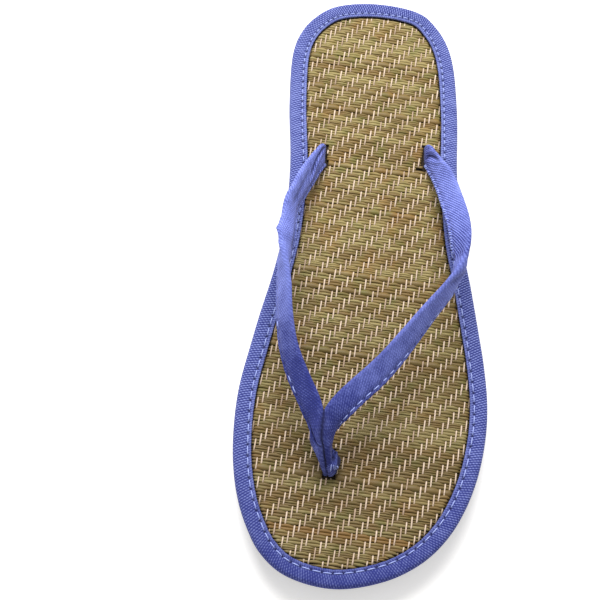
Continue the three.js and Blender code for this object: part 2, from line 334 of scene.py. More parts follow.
# Fine closed cells give a matt black that greys a little where it is rubbed.
foam_place = node(foam, "TexCoord").outputs["Object"]
cells = node(foam, "TexVoronoi", {"Vector": foam_place, "Scale": 1 / (foam_cell * mm)})
scuff_share = ranged(foam, noise(foam, foam_place, 90.0, 5.0), 0.45, 0.75)
foam_colour = blend_colour(foam, scuff_share, linear(foam_black), linear(foam_grey))
finish_material(foam, Base_Color=foam_colour, Roughness=0.82, IOR=1.5,
                Normal=bump(foam, cells.outputs["Distance"], 0.5, 0.0001))

sole = make_piece("foam_sole", [foam_sole()], foam)
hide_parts("outsole")

# Mat backing
# A thin brown fibre sheet glued between the straw and the foam; it shows as the dark in the gaps.
# Its rim is thinner where the binding wraps round it.
mat_low, mat_high = (corner.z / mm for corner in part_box("footbed"))
backing_top = mat_low + 1.35
backing_rim = mat_low + 0.95
backing_steps = 240
backing_dark = "#1E150B"
backing_brown = "#352715"

backing = new_material("brown_fibre_sheet_pressed")
# Loose fibres give it a dull, mottled brown.
fibres = noise(backing, node(backing, "TexCoord").outputs["Object"], 700.0, 6.0)
backing_colour = blend_colour(backing, fibres, linear(backing_dark), linear(backing_brown))
finish_material(backing, Base_Color=backing_colour, Roughness=0.95,
                Normal=bump(backing, fibres, 0.6, 0.0002))


def backing_sheet():
    points, inward, _ = edge_outline(backing_steps)
    rings = []
    for inset, height in ((8.0, mat_low), (6.6, mat_low), (6.6, backing_rim), (2.2, backing_rim),
                          (2.0, mat_low + 1.1), (2.2, backing_top), (8.0, backing_top)):
        rings.append(np.column_stack([points + inward * inset, np.full(backing_steps, height)]))
    return skin(rings)


sheet = make_piece("mat_backing", [backing_sheet()], backing)
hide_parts("footbed")

# Straw picks
# Dried rush stems, one to three side by side in each pick, laid across the sandal and held in
# a 2/2 twill by the cotton threads. They are cut at the slits and tucked under the binding.
Slit = namedtuple("Slit", "x y reach length")
thread_gap = 1.86
pick_gap = 2.484
stem_heading = math.radians(-4.01)
thread_heading = math.radians(-95.65)
weave_start = np.array([-15.69, 14.68])
stem_way = np.array([math.cos(stem_heading), math.sin(stem_heading)])
thread_way = np.array([math.cos(thread_heading), math.sin(thread_heading)])
weave_middle = mat_high - 0.68
stem_sway = 0.18
stem_height = 0.80
stem_squeeze = 0.12
stem_wander = 0.03
stem_ripple = 0.05
stem_uneven = 0.06
stem_arch = 0.9
stem_counts = (1, 2, 2, 2, 2, 3, 2, 3, 2, 2)
# Painted shade on the outer flank of a pick's outer stems.
side_shade = 0.3
tuck_drop = 0.85
tuck_start = 8.4
tuck_end = 7.0
stem_end_inset = 5.0
# Painted shade on the stems just inside the binding's lip, and where it ends.
lip_shade = 0.65
lip_shade_at = (7.45, 8.3)
tone_bunching = 2.4
stem_jitter = 0.03
first_pick = -46
last_pick = 58
first_thread = -32
last_thread = 44
slits = [Slit(*row) for row in (
    (23.2, 56.0, 1.6, 5.7),
    (-21.3, 52.3, 1.65, 5.7),
    (-12.13, -82.3, 2.1, 5.7),
    (-8.0, -87.4, 2.4, 0.3),
    (20.8, 50.25, 1.7, 0.3),
)]
rush_tones = [(0.0, "#51391A"), (0.16, "#674C20"), (0.32, "#6C5B26"), (0.50, "#786630"),
              (0.68, "#7A6133"), (0.86, "#86723F"), (1.0, "#A0905A")]
rush_green = "#6E6D2A"
rush_orange = "#8E6526"
rush_toe_dark = "#4E3F26"
rush_shadow = "#241A0C"
# Picks that stand out: their number, how many stems, the tone and how orange they are.
plain_pick = (None, None, 0.0)
odd_picks = {
    -38: (2, 1.0, 0.0), -36: (2, 0.95, 0.1), -33: (2, 0.1, 0.2), -20: (2, 0.9, 0.0),
    8: (2, 0.15, 0.2), 21: (2, 0.05, 0.2), 27: (2, 1.0, 0.0), 35: (2, 0.1, 0.3),
    50: (2, 0.5, 0.85), 51: (2, 0.55, 0.3), 55: (2, 0.9, 0.3),
}

hexagon = np.arange(6) * 2 * math.pi / 6
edge_points, edge_inward, edge_length = edge_outline(900)


def edge_depth(places):
    """How far inside the outline each place lies, in mm; less than 0 outside it."""
    depths = np.empty(len(places))
    for start in range(0, len(places), 4000):
        away = places[start:start + 4000, None, :] - edge_points[None]
        nearest = np.argmin((away**2).sum(axis=2), axis=1)
        step = away[np.arange(len(nearest)), nearest]
        depths[start:start + 4000] = (step * edge_inward[nearest]).sum(axis=1)
    return depths


def smooth_step(value, low, high):
    """0 up to low and 1 from high on, with a smooth way between."""
    share = np.clip((value - low) / (high - low), 0, 1)
    return share * share * (3 - 2 * share)


def kept_runs(places, depths, room):
    """Index runs of a line that lie inside the binding and clear of the slits."""
    keep = depths > stem_end_inset
    for slit in slits:
        beside = np.abs(places[:, 0] - slit.x) < slit.reach + room
        keep &= ~(beside & (np.abs(places[:, 1] - slit.y) < slit.length))
    edges = np.flatnonzero(np.diff(np.concatenate([[0], keep.astype(int), [0]])))
    return [(a, b) for a, b in zip(edges[::2], edges[1::2]) if b - a > 3]


def slow_noise(chance, count, spacing):
    """A smooth random line between -1 and 1 with a stop every so many points."""
    stops = [chance.uniform(-1, 1) for _ in range(count // spacing + 3)]
    return np.interp(np.arange(count) / spacing, np.arange(len(stops)), stops)


def oval_rings(line, height, side_way, half_width, half_height, angles):
    """Oval rings round a nearly level line, with one point at each angle."""
    rings = np.empty((len(line), len(angles), 3))
    for side, angle in enumerate(angles):
        rings[:, side, :2] = line + (half_width * math.cos(angle))[:, None] * side_way
        rings[:, side, 2] = height + half_height * math.sin(angle)
    return rings


def stem(chance, pick, offset, half_width):
    """The runs of one stem of a pick, with its painted shade at each point: darker round its underside, on
    a pick's outer flank and near the binding's lip.
    """
    threads = np.arange(first_thread, last_thread, 0.5)
    wave = np.cos(math.pi / 2 * (threads + pick - 0.5))
    shift = offset * (1 - stem_squeeze * wave) + stem_wander * slow_noise(chance, len(threads), 9)
    line = weave_start + threads[:, None] * thread_gap * stem_way
    line = line + (pick + shift)[:, None] * pick_gap * thread_way
    depths = edge_depth(line)
    height = weave_middle - stem_sway * wave
    height -= tuck_drop * smooth_step(-depths, -tuck_start, -tuck_end)
    height += stem_ripple * slow_noise(chance, len(threads), 13) - stem_arch * offset**2
    wide = half_width * (1 - stem_squeeze * wave + stem_uneven * slow_noise(chance, len(threads), 7))
    angles = hexagon + math.pi / 2
    rings = oval_rings(line, height, thread_way, wide, stem_height / 2, angles)
    outside = np.maximum(np.cos(angles) * np.sign(offset), 0) * min(abs(2 * offset), 1)
    by_lip = lip_shade * (1 - smooth_step(depths, *lip_shade_at))
    round_share = (1 - np.sin(angles)) / 2 + side_shade * outside + by_lip[:, None]
    return [(rings[a:b], round_share[a:b]) for a, b in kept_runs(line, depths, 0)]


def straw_picks(name, picks, seed):
    chance = random.Random(seed)
    parts = []
    marks = {"tone": [], "round": [], "stain": []}
    for pick in picks:
        odd_count, odd_tone, stain = odd_picks.get(pick, plain_pick)
        pick_tone = odd_tone or chance.betavariate(tone_bunching, tone_bunching)
        count = odd_count or chance.choice(stem_counts)
        for order in range(count):
            offset = (order + 0.5) / count - 0.5 + chance.uniform(-stem_jitter, stem_jitter)
            tone = min(max(0.5 * pick_tone + 0.5 * chance.betavariate(2.0, 2.0), 0), 1)
            half_width = 0.5 * pick_gap / count * chance.uniform(1.0, 1.14)
            for rings, round_share in stem(chance, pick, offset, half_width):
                parts.append(skin(rings))
                marks["tone"] += [tone] * round_share.size
                marks["round"] += round_share.ravel().tolist()
                marks["stain"] += [stain] * round_share.size
    piece = make_piece(name, parts, rush, marks)
    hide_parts("footbed")


def attribute(material, name):
    """A number kept at the piece's points."""
    return node(material, "Attribute", attribute_name=name).outputs["Fac"]


def reckon(material, operation, *values, **settings):
    """A sum done with numbers or sockets at each point of the surface."""
    return node(material, "Math", dict(enumerate(values)), operation=operation, **settings).outputs[0]


rush = new_material("rush_stems_dried")
# Each stem has its own tone, long dull fibres and a faint wax shine. Its underside, the outer
# flanks of each pick and the stems by the binding's lip are painted dark as shade.
rush_place = node(rush, "TexCoord").outputs["Object"]
along_stems = node(rush, "Mapping", {"Vector": rush_place, "Rotation": (0, 0, -stem_heading),
                                     "Scale": (120, 4200, 3000)})
fibre = noise(rush, along_stems.outputs[0], 1.0, 4.0)
patches = noise(rush, rush_place, 95.0, 3.0)
shifted = reckon(rush, "ADD", attribute(rush, "tone"), fibre)
patched = reckon(rush, "MULTIPLY_ADD", patches, 0.8, shifted)
tone_ramp = node(rush, "ValToRGB", {"Fac": ranged(rush, patched, 0.56, 1.58)})
while len(tone_ramp.color_ramp.elements) < len(rush_tones):
    tone_ramp.color_ramp.elements.new(0.5)
for stop, (place, colour) in zip(tone_ramp.color_ramp.elements, rush_tones):
    stop.position = place
    stop.color = linear(colour)
green_share = ranged(rush, noise(rush, rush_place, 160.0, 1.0), 0.52, 0.72, most=0.6)
greened = blend_colour(rush, green_share, tone_ramp.outputs[0], linear(rush_green))
orange_patch = node(rush, "TexNoise", {"Vector": rush_place, "Scale": 120.0, "W": 4.0, "Detail": 1.0},
                    noise_dimensions="4D")
orange_share = ranged(rush, orange_patch.outputs[0], 0.54, 0.76, most=0.6)
orange_most = reckon(rush, "MAXIMUM", orange_share, attribute(rush, "stain"))
oranged = blend_colour(rush, orange_most, greened, linear(rush_orange))
# The stems are darker towards the toe.
rush_axes = node(rush, "SeparateXYZ", {0: rush_place})
toe_dark_share = ranged(rush, rush_axes.outputs["Y"], 0.02, -0.075, most=0.34)
toe_darkened = blend_colour(rush, toe_dark_share, oranged, linear(rush_toe_dark))
# Painted shade: each stem darkens to the shadow colour round its underside, between picks and by the
# binding's lip.
painted_shade_share = ranged(rush, attribute(rush, "round"), 0.28, 0.80)
rush_colour = blend_colour(rush, painted_shade_share, toe_darkened, linear(rush_shadow))
finish_material(rush, Base_Color=rush_colour, Roughness=0.55, IOR=1.45,
                Normal=bump(rush, fibre, 0.5, 0.00015))

middle_pick = (first_pick + last_pick) // 2
straw_picks("straw_picks_heel", range(first_pick, middle_pick), 11)
straw_picks("straw_picks_toe", range(middle_pick, last_pick), 12)

# Cotton warp
# Two-ply cream cotton threads that run from heel to toe, over two picks and under two, each
# one pick further on than its neighbour, so that their dashes make the diagonal of the twill.
warp_sway = 0.46
warp_flatness = 0.6
warp_half_width = 0.32
warp_half_height = 0.22
warp_wander = 0.05
warp_uneven = 0.12
warp_tuck_start = 8.8
warp_slit_room = 0.3
warp_lip_shade = 0.75
warp_shade_at = (7.4, 8.2)
warp_dip_at = (-0.3, 0.55)
warp_ply = 0.9
ply_slant = math.radians(40)
warp_cream = "#E2CBB4"
warp_tan = "#B89E86"
warp_shadow = "#54402E"

cotton = new_material("two_ply_cotton_twisted")
# The twist shows as a faint slant. Each thread is painted darker as shade where it dives between
# stems and by the binding's lip.
cotton_base = blend_colour(cotton, attribute(cotton, "tone"), linear(warp_cream), linear(warp_tan))
cotton_colour = blend_colour(cotton, attribute(cotton, "dip"), cotton_base, linear(warp_shadow))
ply_turn = node(cotton, "Mapping", {"Vector": node(cotton, "TexCoord").outputs["Object"],
                                    "Rotation": (0, 0, ply_slant), "Scale": (1 / (warp_ply * mm),) * 3})
ply = node(cotton, "TexWave", {"Vector": ply_turn.outputs[0], "Scale": math.pi / 10, "Distortion": 1.0})
finish_material(cotton, Base_Color=cotton_colour, Roughness=0.85, IOR=1.5,
                Normal=bump(cotton, ply.outputs["Fac"], 0.5, 0.0001))


def cotton_warp():
    chance = random.Random(21)
    parts = []
    marks = {"tone": [], "dip": []}
    picks = np.arange(first_pick, last_pick, 1 / 3)
    for thread in range(first_thread, last_thread):
        wave = np.cos(math.pi / 2 * (picks + thread - 0.5))
        flat = np.sign(wave) * np.abs(wave) ** warp_flatness
        shift = warp_wander * slow_noise(chance, len(picks), 5)
        line = weave_start + (thread + shift)[:, None] * thread_gap * stem_way
        line = line + picks[:, None] * pick_gap * thread_way
        depths = edge_depth(line)
        height = weave_middle + warp_sway * flat
        height -= tuck_drop * smooth_step(-depths, -warp_tuck_start, -tuck_end)
        wide = warp_half_width * (1 + warp_uneven * slow_noise(chance, len(picks), 4))
        rings = oval_rings(line, height, stem_way, wide, warp_half_height, hexagon)
        tone = chance.random() ** 2
        # Painted shade where the thread dives under the picks and near the binding's lip.
        by_lip = warp_lip_shade * (1 - smooth_step(depths, *warp_shade_at))
        dip_shade = np.maximum(1 - smooth_step(flat, *warp_dip_at), by_lip)
        for a, b in kept_runs(line, depths, warp_slit_room):
            parts.append(skin(rings[a:b]))
            marks["tone"] += [tone] * ((b - a) * len(hexagon))
            marks["dip"] += np.repeat(dip_shade[a:b], len(hexagon)).tolist()
    piece = make_piece("cotton_warp", parts, cotton, marks)
    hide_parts("footbed")


cotton_warp()

# Edge binding
# One tape of periwinkle cotton twill, folded round the edge of the mat and sewn through with
# a single row, so it is pressed down along the row and its ribs run nearly across it.
binding_low, binding_high = (corner.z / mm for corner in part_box("edge_binding"))
binding_width = 7.2
binding_under_width = 6.2
binding_cloth = 0.8
binding_steps = 1500
rib_gap = 1.0
rib_turn = math.radians(-20)
seam_inset = 5.6
stitch_heel = 3.3
stitch_toe = 4.8
stitch_change = (-30, 50)
row_waves = [(0.18, 17.0), (0.12, 6.1)]
seam_groove = 0.75
groove_depth = 0.20
needle_hole = 0.42
hole_depth = 0.4
hole_across = 0.4
pit_across = 0.45
hole_streak = 0.8
hole_pull = 0.9
pull_depth = 0.16
cloth_puff = 0.06
edge_wave = 0.10
# The tape's inner lip is paler and its ribs smoother.
lip_at = (5.8, 6.5)
lip_paling = 0.10
lip_smooth = 0.6
yarn_turn = math.radians(64)
yarn_gap_share = 0.85
binding_contrast = 0.62
twill_deep = "#262F7E"
twill_pale = "#8E9ADC"
painted_shade_navy = "#0B1048"
# How clearly the ribs show, and how pale the cloth is, 0 to 1, at places along the sandal in mm
# from its middle. The paleness is the cloth's own tone with painted light, paler towards the heel
# and darker towards the toe.
binding_ribs = [(-131, 0.42), (-105, 0.60), (-60, 0.88), (0, 1.0), (131, 0.92)]
binding_tone_and_light = [(-130, 0.13), (-90, 0.31), (-20, 0.42), (70, 0.54), (112, 0.46), (131, 0.38)]


def bell(away, width):
    """1 at 0, falling smoothly to nearly 0 at twice the width."""
    return np.exp(-(away / width) ** 2)


def looked_up(table, at):
    """A table's values at the given places, straight between its rows."""
    return np.interp(at, *zip(*table))


def stitch_places(path_length, pitch_at):
    """Distances along a row at which its needle holes lie, closed up to the row's length."""
    places = [0.0]
    while places[-1] < path_length:
        places.append(places[-1] + pitch_at(places[-1]))
    return np.array(places[:-1]) * path_length / places[-1]


def twill_cloth(name, rib, turned, contrast, deep, pale):
    """Cotton twill, woven and dyed: slanting ribs of short floats, matt, with painted light and shade in
    its paleness, rib grooves and pits.
    """
    cloth = new_material(name)
    tape = node(cloth, "UVMap", uv_map="tape").outputs[0]
    place = node(cloth, "TexCoord").outputs["Object"]
    waves = []
    for turn_back, scale, fray in ((turned, 1 / rib, 1.5), (turned + yarn_turn, yarn_gap_share / rib, 1.0)):
        lines_at = node(cloth, "Mapping", {"Vector": tape, "Rotation": (0, 0, -turn_back),
                                           "Scale": (scale, scale, 1)})
        wave = node(cloth, "TexWave", {"Vector": lines_at.outputs[0], "Scale": math.pi / 10,
                                       "Distortion": 1.4, "Detail": 2.0, "Detail Scale": fray})
        waves.append(wave.outputs["Fac"])
    floats = reckon(cloth, "MULTIPLY_ADD", waves[1], 0.6, 0.4)
    relief = reckon(cloth, "MULTIPLY", waves[0], floats)
    grain = noise(cloth, place, 1700.0, 2.0)
    speckled = reckon(cloth, "MULTIPLY_ADD", grain, 0.9, noise(cloth, place, 220.0, 3.0))
    # The twill's pattern shows partly in the colour: the crowns of its ribs are painted paler and the
    # grooves darker, as light and shade on the relief.
    shown = ranged(cloth, relief, 0.0, 1.0, -contrast, contrast * 1.2)
    uneven = ranged(cloth, speckled, 0.45, 1.45, -0.3, 0.3)
    varied = reckon(cloth, "MULTIPLY_ADD", shown, attribute(cloth, "rib"), uneven)
    level = reckon(cloth, "ADD", varied, attribute(cloth, "tone_and_light"), use_clamp=True)
    dyed = blend_colour(cloth, level, linear(deep), linear(pale))
    # Painted shade: needle holes, creases, the seam where the straps touch and the sewn end's cut edge are
    # darkened.
    colour = blend_colour(cloth, attribute(cloth, "pit"), dyed, linear(painted_shade_navy))
    finish_material(cloth, Base_Color=colour, Roughness=0.88, IOR=1.5,
                    Normal=bump(cloth, relief, 0.7, 0.00018), Sheen_Weight=0.05, Sheen_Roughness=0.5)
    return cloth


def binding_profile():
    """Inset and height of the folded tape's section, from its lower lip round to its upper one."""
    radius = (binding_high - binding_low) / 2
    turns = np.linspace(-math.pi / 2, math.pi / 2, 12)
    arcs = []
    for reach, arc_turns in ((radius, turns), (radius - binding_cloth, turns[::-3])):
        arcs.append([(radius - reach * math.cos(t), binding_low + radius + reach * math.sin(t))
                     for t in arc_turns])
    lip = binding_cloth / 2
    top = [(inset, binding_high) for inset in (2.4, 3.2, 4.0, 4.7, 5.1, 5.4, 5.7, 6.1, 6.5)]
    edge = [(binding_width - 0.28, binding_high - 0.07), (binding_width - 0.06, binding_high - 0.28),
            (binding_width, binding_high - binding_cloth)]
    under = [(binding_under_width, binding_low + binding_cloth),
             (binding_under_width + lip * 0.3, binding_low + lip)]
    return [(binding_under_width, binding_low)] + arcs[0] + top + edge + arcs[1] + under


def edge_binding():
    points, inward, length = edge_outline(binding_steps)
    along = np.arange(binding_steps) * length / binding_steps
    toe_share = 1 - smooth_step(points[:, 1], *stitch_change)
    pitches = stitch_heel + (stitch_toe - stitch_heel) * toe_share
    holes = stitch_places(length, lambda at: np.interp(at, along, pitches))
    gaps = np.abs(along[:, None] - holes[None])
    from_hole = np.minimum(gaps, length - gaps).min(axis=1)
    pulled = bell(from_hole, hole_pull)
    wander = sum(size * np.sin(along / reach) for size, reach in row_waves)
    rings = []
    pits = []
    across = [0.0]
    profile = binding_profile()
    for number, (inset, height) in enumerate(profile):
        upper = height > binding_high - 0.5 and inset > 1.0
        from_seam = inset - seam_inset - wander
        puff = cloth_puff * math.sin(math.pi * min(max((inset - 0.5) / 4.6, 0), 1))
        press = bell(from_seam, seam_groove) * (groove_depth + pull_depth * pulled)
        press += bell(from_seam, hole_across) * bell(from_hole, needle_hole) * hole_depth
        wavy = edge_wave * (1 - pulled) * (inset > seam_inset) * upper
        ring = points + inward * (inset + wavy)[:, None]
        rings.append(np.column_stack([ring, height + (puff - press) * upper]))
        # Painted shade at each needle hole, drawn out a little along the row.
        pits.append(bell(from_seam, pit_across) * bell(from_hole, hole_streak) * upper)
        step_in, step_up = np.subtract(profile[(number + 1) % len(profile)], (inset, height))
        across.append(across[-1] + math.hypot(step_in, step_up))
    ribs_round = round(length * math.cos(rib_turn) / rib_gap)
    rib_length = ribs_round * rib_gap / math.cos(rib_turn)
    along_rings = np.linspace(0, rib_length, binding_steps + 1)
    part = skin(np.stack(rings, axis=1), True, along_rings, -np.asarray(across))
    by_lip = smooth_step(np.array([inset for inset, _ in profile]), *lip_at)
    # How pale the tape is: the cloth's own tone with painted light, paler towards the heel and darker
    # towards the toe, and paler at the inner lip.
    tone_and_light = looked_up(binding_tone_and_light, points[:, 1])[:, None] + lip_paling * by_lip
    ribbed = np.outer(looked_up(binding_ribs, points[:, 1]), 1 - lip_smooth * by_lip)
    marks = {"pit": np.stack(pits, axis=1).ravel(), "tone_and_light": tone_and_light.ravel(), "rib": ribbed.ravel()}
    return part, marks, points, inward, along, holes, wander


binding_twill = twill_cloth("cotton_twill_binding", rib_gap, rib_turn, binding_contrast, twill_deep,
                           twill_pale)
binding_part, binding_marks, row_points, row_inward, row_along, row_holes, row_wander = edge_binding()
binding = make_piece("edge_binding_tape", [binding_part], binding_twill, binding_marks)
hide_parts("edge_binding")

# Binding stitches
# Lockstitches of light blue polyester thread, one row about 2 mm inside the binding's inner edge,
# longer round the toes than round the heel, each sunk at its needle holes.
thread_blue = "#BCCBFA"
thread_deep = "#8492E4"
thread_radius = 0.24
stitch_share = 0.80
row_sunk = 0.22

thread = new_material("polyester_thread_twisted")
# Smooth filaments give it a small bright shine on a clear light blue.
strands = noise(thread, node(thread, "TexCoord").outputs["Object"], 1500.0, 2.0)
strand_colour = blend_colour(thread, strands, linear(thread_deep), linear(thread_blue))
finish_material(thread, Base_Color=strand_colour, Roughness=0.45, IOR=1.55,
                Normal=bump(thread, strands, 0.3, 0.0001))


def stitch(start, end, outward, radius):
    """One stitch lying on the cloth from start to end, sunk at both ends."""
    shares = np.array([0.0, 0.08, 0.25, 0.5, 0.75, 0.92, 1.0])
    lifts = np.array([-1.5, -0.35, 0.45, 0.7, 0.45, -0.35, -1.5]) * radius
    swells = np.array([0.45, 0.8, 1.0, 1.05, 1.0, 0.8, 0.45]) * radius
    line = start + (end - start) * shares[:, None] + outward * lifts[:, None]
    side_way = unit(np.cross(end - start, outward))
    spreads = [side_way * math.cos(angle) + outward * math.sin(angle) for angle in hexagon]
    return skin(np.stack([line + spread * swells[:, None] for spread in spreads], axis=1))


def binding_stitches():
    parts = []
    chance = random.Random(31)
    inset = seam_inset + row_wander
    seam = np.column_stack([row_points + row_inward * inset[:, None],
                            np.full(len(row_points), binding_high - row_sunk)])
    loop = np.vstack([seam, seam[:1]])
    loop_along = np.append(row_along, edge_length)
    ends = np.append(row_holes, edge_length)
    for first, second in zip(ends, ends[1:]):
        spare = (second - first) * (1 - stitch_share) / 2 * chance.uniform(0.7, 1.2)
        start, end = point_along(np.array([first + spare, second - spare]), loop_along, loop)
        parts.append(stitch(start, end, np.array([0, 0, 1.0]), thread_radius))
    return parts


row = make_piece("binding_stitches", binding_stitches(), thread)
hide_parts("edge_binding")

# Straps
# The same twill as a strip, folded lengthwise and sewn near its open edge. Each strap comes up
# through a slit, twists over at its bend, and goes down on edge beside the other at the toes.
strap_width = 10.2
strap_thickness = 2.1
strap_rise = 22.8
strap_tail = 5.8
strap_steps = 14
sewn_edge_half = 0.78
thin_at = (1.5, 3.4)
strap_seam = 1.45
strap_stitch = 4.4
strap_rib = 0.95
strap_rib_turn = math.radians(-58)
strap_contrast = 0.46
strap_pale = "#8F9CF2"
strap_deep = "#222C7C"
seam_soft = 0.68
row_groove = 0.6
row_depth = 0.16
row_pull = 0.14
row_pull_reach = 1.6
row_hole_across = 0.4
row_hole_along = 0.5
pit_shade = 0.9
crease_shade = 1.2
crease_fades = (0.6, 0.4)
twist_station = 10.9
twist_bulge = 1.5
twist_reach = 0.9
fork_stations = (20.0, 21.5)
fork_swell = 0.2

# across is a share of half the ball width, along of the length from the toe and rise of the
# strap's rise over the mat. The width runs from the sewn to the folded edge, heading degrees
# round from +X and lean degrees above the level. bow is how far the middle stands out of flat,
# as a share of the width.
Station = namedtuple("Station", "across along rise heading lean bow")
outer_strap = [Station(*row) for row in (
    (0.464, 0.713, 0.05, 90, 0, 0),
    (0.490, 0.705, 0.17, 76, 26, 0),
    (0.530, 0.687, 0.24, 58, 42, 0.02),
    (0.565, 0.670, 0.33, 44, 42, 0.02),
    (0.602, 0.648, 0.42, 29, 38, 0.02),
    (0.634, 0.624, 0.51, 19, 35, 0.02),
    (0.680, 0.581, 0.71, 3, 35, 0.03),
    (0.698, 0.557, 0.80, -5, 40, 0.04),
    (0.703, 0.535, 0.89, -9, 47, 0.04),
    (0.704, 0.514, 0.95, -14, 58, 0.04),
    (0.702, 0.497, 0.99, -28, 72, 0.02),
    (0.690, 0.479, 1.00, -120, 78, 0),
    (0.650, 0.461, 0.98, -160, 64, -0.03),
    (0.598, 0.445, 0.95, -174, 58, -0.05),
    (0.467, 0.411, 0.90, 170, 54, -0.04),
    (0.333, 0.374, 0.87, 161, 46, -0.04),
    (0.175, 0.331, 0.86, 151, 34, -0.04),
    (0.058, 0.304, 0.85, 144, 23, -0.04),
    (-0.052, 0.282, 0.84, 140, 17, -0.04),
    (-0.166, 0.258, 0.83, 139, 18, -0.04),
    (-0.250, 0.236, 0.78, 146, 38, -0.04),
    (-0.268, 0.219, 0.67, 176, 60, -0.04),
    (-0.267, 0.210, 0.54, 238, 62, -0.03),
    (-0.266, 0.202, 0.40, 259, 48, -0.02),
    (-0.245, 0.192, 0.19, 266, 26, 0),
    (-0.223, 0.187, 0.05, 270, 0, 0),
)]
inner_strap = [Station(*row) for row in (
    (-0.428, 0.699, 0.05, 90, 0, 0),
    (-0.456, 0.690, 0.19, 120, 32, -0.02),
    (-0.511, 0.668, 0.26, 148, 47, -0.04),
    (-0.553, 0.646, 0.36, 170, 52, -0.05),
    (-0.593, 0.626, 0.44, 184, 55, -0.05),
    (-0.629, 0.607, 0.53, 194, 56, -0.05),
    (-0.670, 0.586, 0.62, 201, 54, -0.06),
    (-0.693, 0.562, 0.72, 202, 46, -0.08),
    (-0.705, 0.540, 0.81, 201, 37, -0.11),
    (-0.703, 0.519, 0.88, 206, 42, -0.12),
    (-0.710, 0.497, 0.92, 222, 52, -0.10),
    (-0.713, 0.477, 0.94, 275, 66, -0.04),
    (-0.710, 0.457, 0.93, 320, 60, 0.03),
    (-0.696, 0.430, 0.92, 331, 56, 0.05),
    (-0.686, 0.403, 0.90, 335, 55, 0.05),
    (-0.664, 0.371, 0.88, 341, 53, 0.05),
    (-0.636, 0.344, 0.86, 354, 51, 0.04),
    (-0.590, 0.317, 0.84, 372, 48, 0.04),
    (-0.520, 0.287, 0.82, 381, 43, 0.04),
    (-0.436, 0.255, 0.80, 388, 44, 0.04),
    (-0.396, 0.235, 0.74, 390, 54, 0.04),
    (-0.384, 0.219, 0.65, 376, 62, 0.06),
    (-0.374, 0.210, 0.53, 322, 62, 0.10),
    (-0.340, 0.202, 0.40, 285, 48, 0.13),
    (-0.297, 0.192, 0.19, 274, 26, 0.06),
    (-0.262, 0.187, 0.05, 270, 0, 0),
)]

# Creases pressed into a strap. start and end are stations counted from its slit, edge_start and
# edge_end are mm from the middle towards the folded edge, depth is out of the face in mm, and
# soft is half the crease's width.
Crease = namedtuple("Crease", "start edge_start end edge_end depth soft")
outer_creases = [Crease(*row) for row in (
    (0.2, 1.0, 1.2, 5.0, 0.35, 0.7),
    (0.3, -1.5, 1.7, 3.4, -0.7, 0.9),
    (0.9, -3.0, 2.6, 4.5, 0.3, 1.0),
    (9.0, -3.0, 12.5, 3.5, 0.4, 1.4),
)]
inner_creases = [Crease(*row) for row in (
    (0.2, 3.2, 2.8, -0.4, 0.65, 0.7),
    (0.6, 1.2, 3.4, -2.2, -0.35, 0.8),
    (2.8, 1.5, 6.2, 0.5, 0.3, 1.0),
    (8.2, -3.8, 11.6, -0.5, 0.3, 1.0),
    (20.4, -2.4, 22.5, 5.0, -0.8, 0.6),
)]
# At stations counted from each strap's slit: how pale it is, its own tone with painted light and
# shade, paler on the upper runs and darker down towards the fork; how far its folded side is gathered
# in, and how far its sewn side is tucked in where the inner strap turns down at the fork. Last, how
# clearly the ribs of both show.
outer_tone_and_light = [(-2, 0.40), (0.8, 0.36), (1.6, 0.58), (5, 0.67), (9, 0.33), (12, 0.50), (15, 0.42),
              (17.5, 0.26), (20, 0.10), (30, 0.06)]
inner_tone_and_light = [(-2, 0.45), (2, 0.60), (8, 0.63), (12, 0.58), (14, 0.44), (16, 0.14), (18, 0.02),
              (20.5, 0.04), (21.6, 0.12), (22.6, 0.32), (24, 0.26), (30, 0.1)]
outer_gathering = [(-2, 1.0), (0, 1.0), (0.9, 0.68), (1.8, 0.8), (3.2, 1.0)]
inner_gathering = [(-2, 1.0), (0, 1.0), (0.9, 0.68), (1.8, 0.8), (3.2, 1.0), (5.8, 1.0), (7.5, 0.62),
                   (8.2, 0.74), (8.85, 1.08), (9.6, 0.90), (10.6, 0.96), (11.6, 1.0)]
outer_tuck = [(0, 1.0)]
inner_tuck = [(19.7, 1.0), (20.4, 0.86), (21.1, 0.48), (22.0, 0.40), (23.4, 1.0)]
ribs_shown = [(-2, 0.6), (2, 1.0), (9.5, 1.0), (11.2, 0.5), (16, 0.3), (30, 0.3)]
folded_smooth = 0.4
folded_smooth_at = (1.5, 4.0)


def strap_lines(stations):
    """The strap's middle line with its face and side directions and its bow, close together."""
    tails = [-strap_tail / strap_rise, -strap_tail / strap_rise / 2]
    rows = [stations[0]._replace(rise=rise) for rise in tails]
    rows += stations
    rows += [stations[-1]._replace(rise=rise) for rise in reversed(tails)]
    places = [(row.across * half_ball, (row.along - 0.5) * sole_length, mat_high + row.rise * strap_rise)
              for row in rows]
    ways = []
    for row in rows:
        heading = math.radians(row.heading)
        lean = math.radians(row.lean)
        level = math.cos(lean)
        ways.append((level * math.cos(heading), level * math.sin(heading), math.sin(lean)))
    path = curve_through(places, strap_steps)
    width_way = curve_through(ways, strap_steps, power=1.0)
    bow = curve_through([(row.bow,) for row in rows], strap_steps, power=0)[:, 0]
    heading = unit(np.gradient(path, axis=0))
    face = unit(np.cross(heading, width_way))
    side = np.cross(face, heading)
    return path, face, side, bow, distances(path)


def bowed(bow, u):
    """How far the strap's middle layer lies out of flat at u mm from its middle line."""
    return bow * strap_width * (1 - (2 * u / strap_width) ** 2)


def half_thickness(u):
    """Half the strap's thickness at u mm from its middle, towards the folded edge."""
    half = strap_width / 2
    full = strap_thickness / 2
    soft = full - (full - sewn_edge_half) * smooth_step(-u, *thin_at)
    from_end = half - abs(u)
    if from_end >= soft:
        return soft
    return math.sqrt(max(soft**2 - (soft - from_end) ** 2, 0.0))


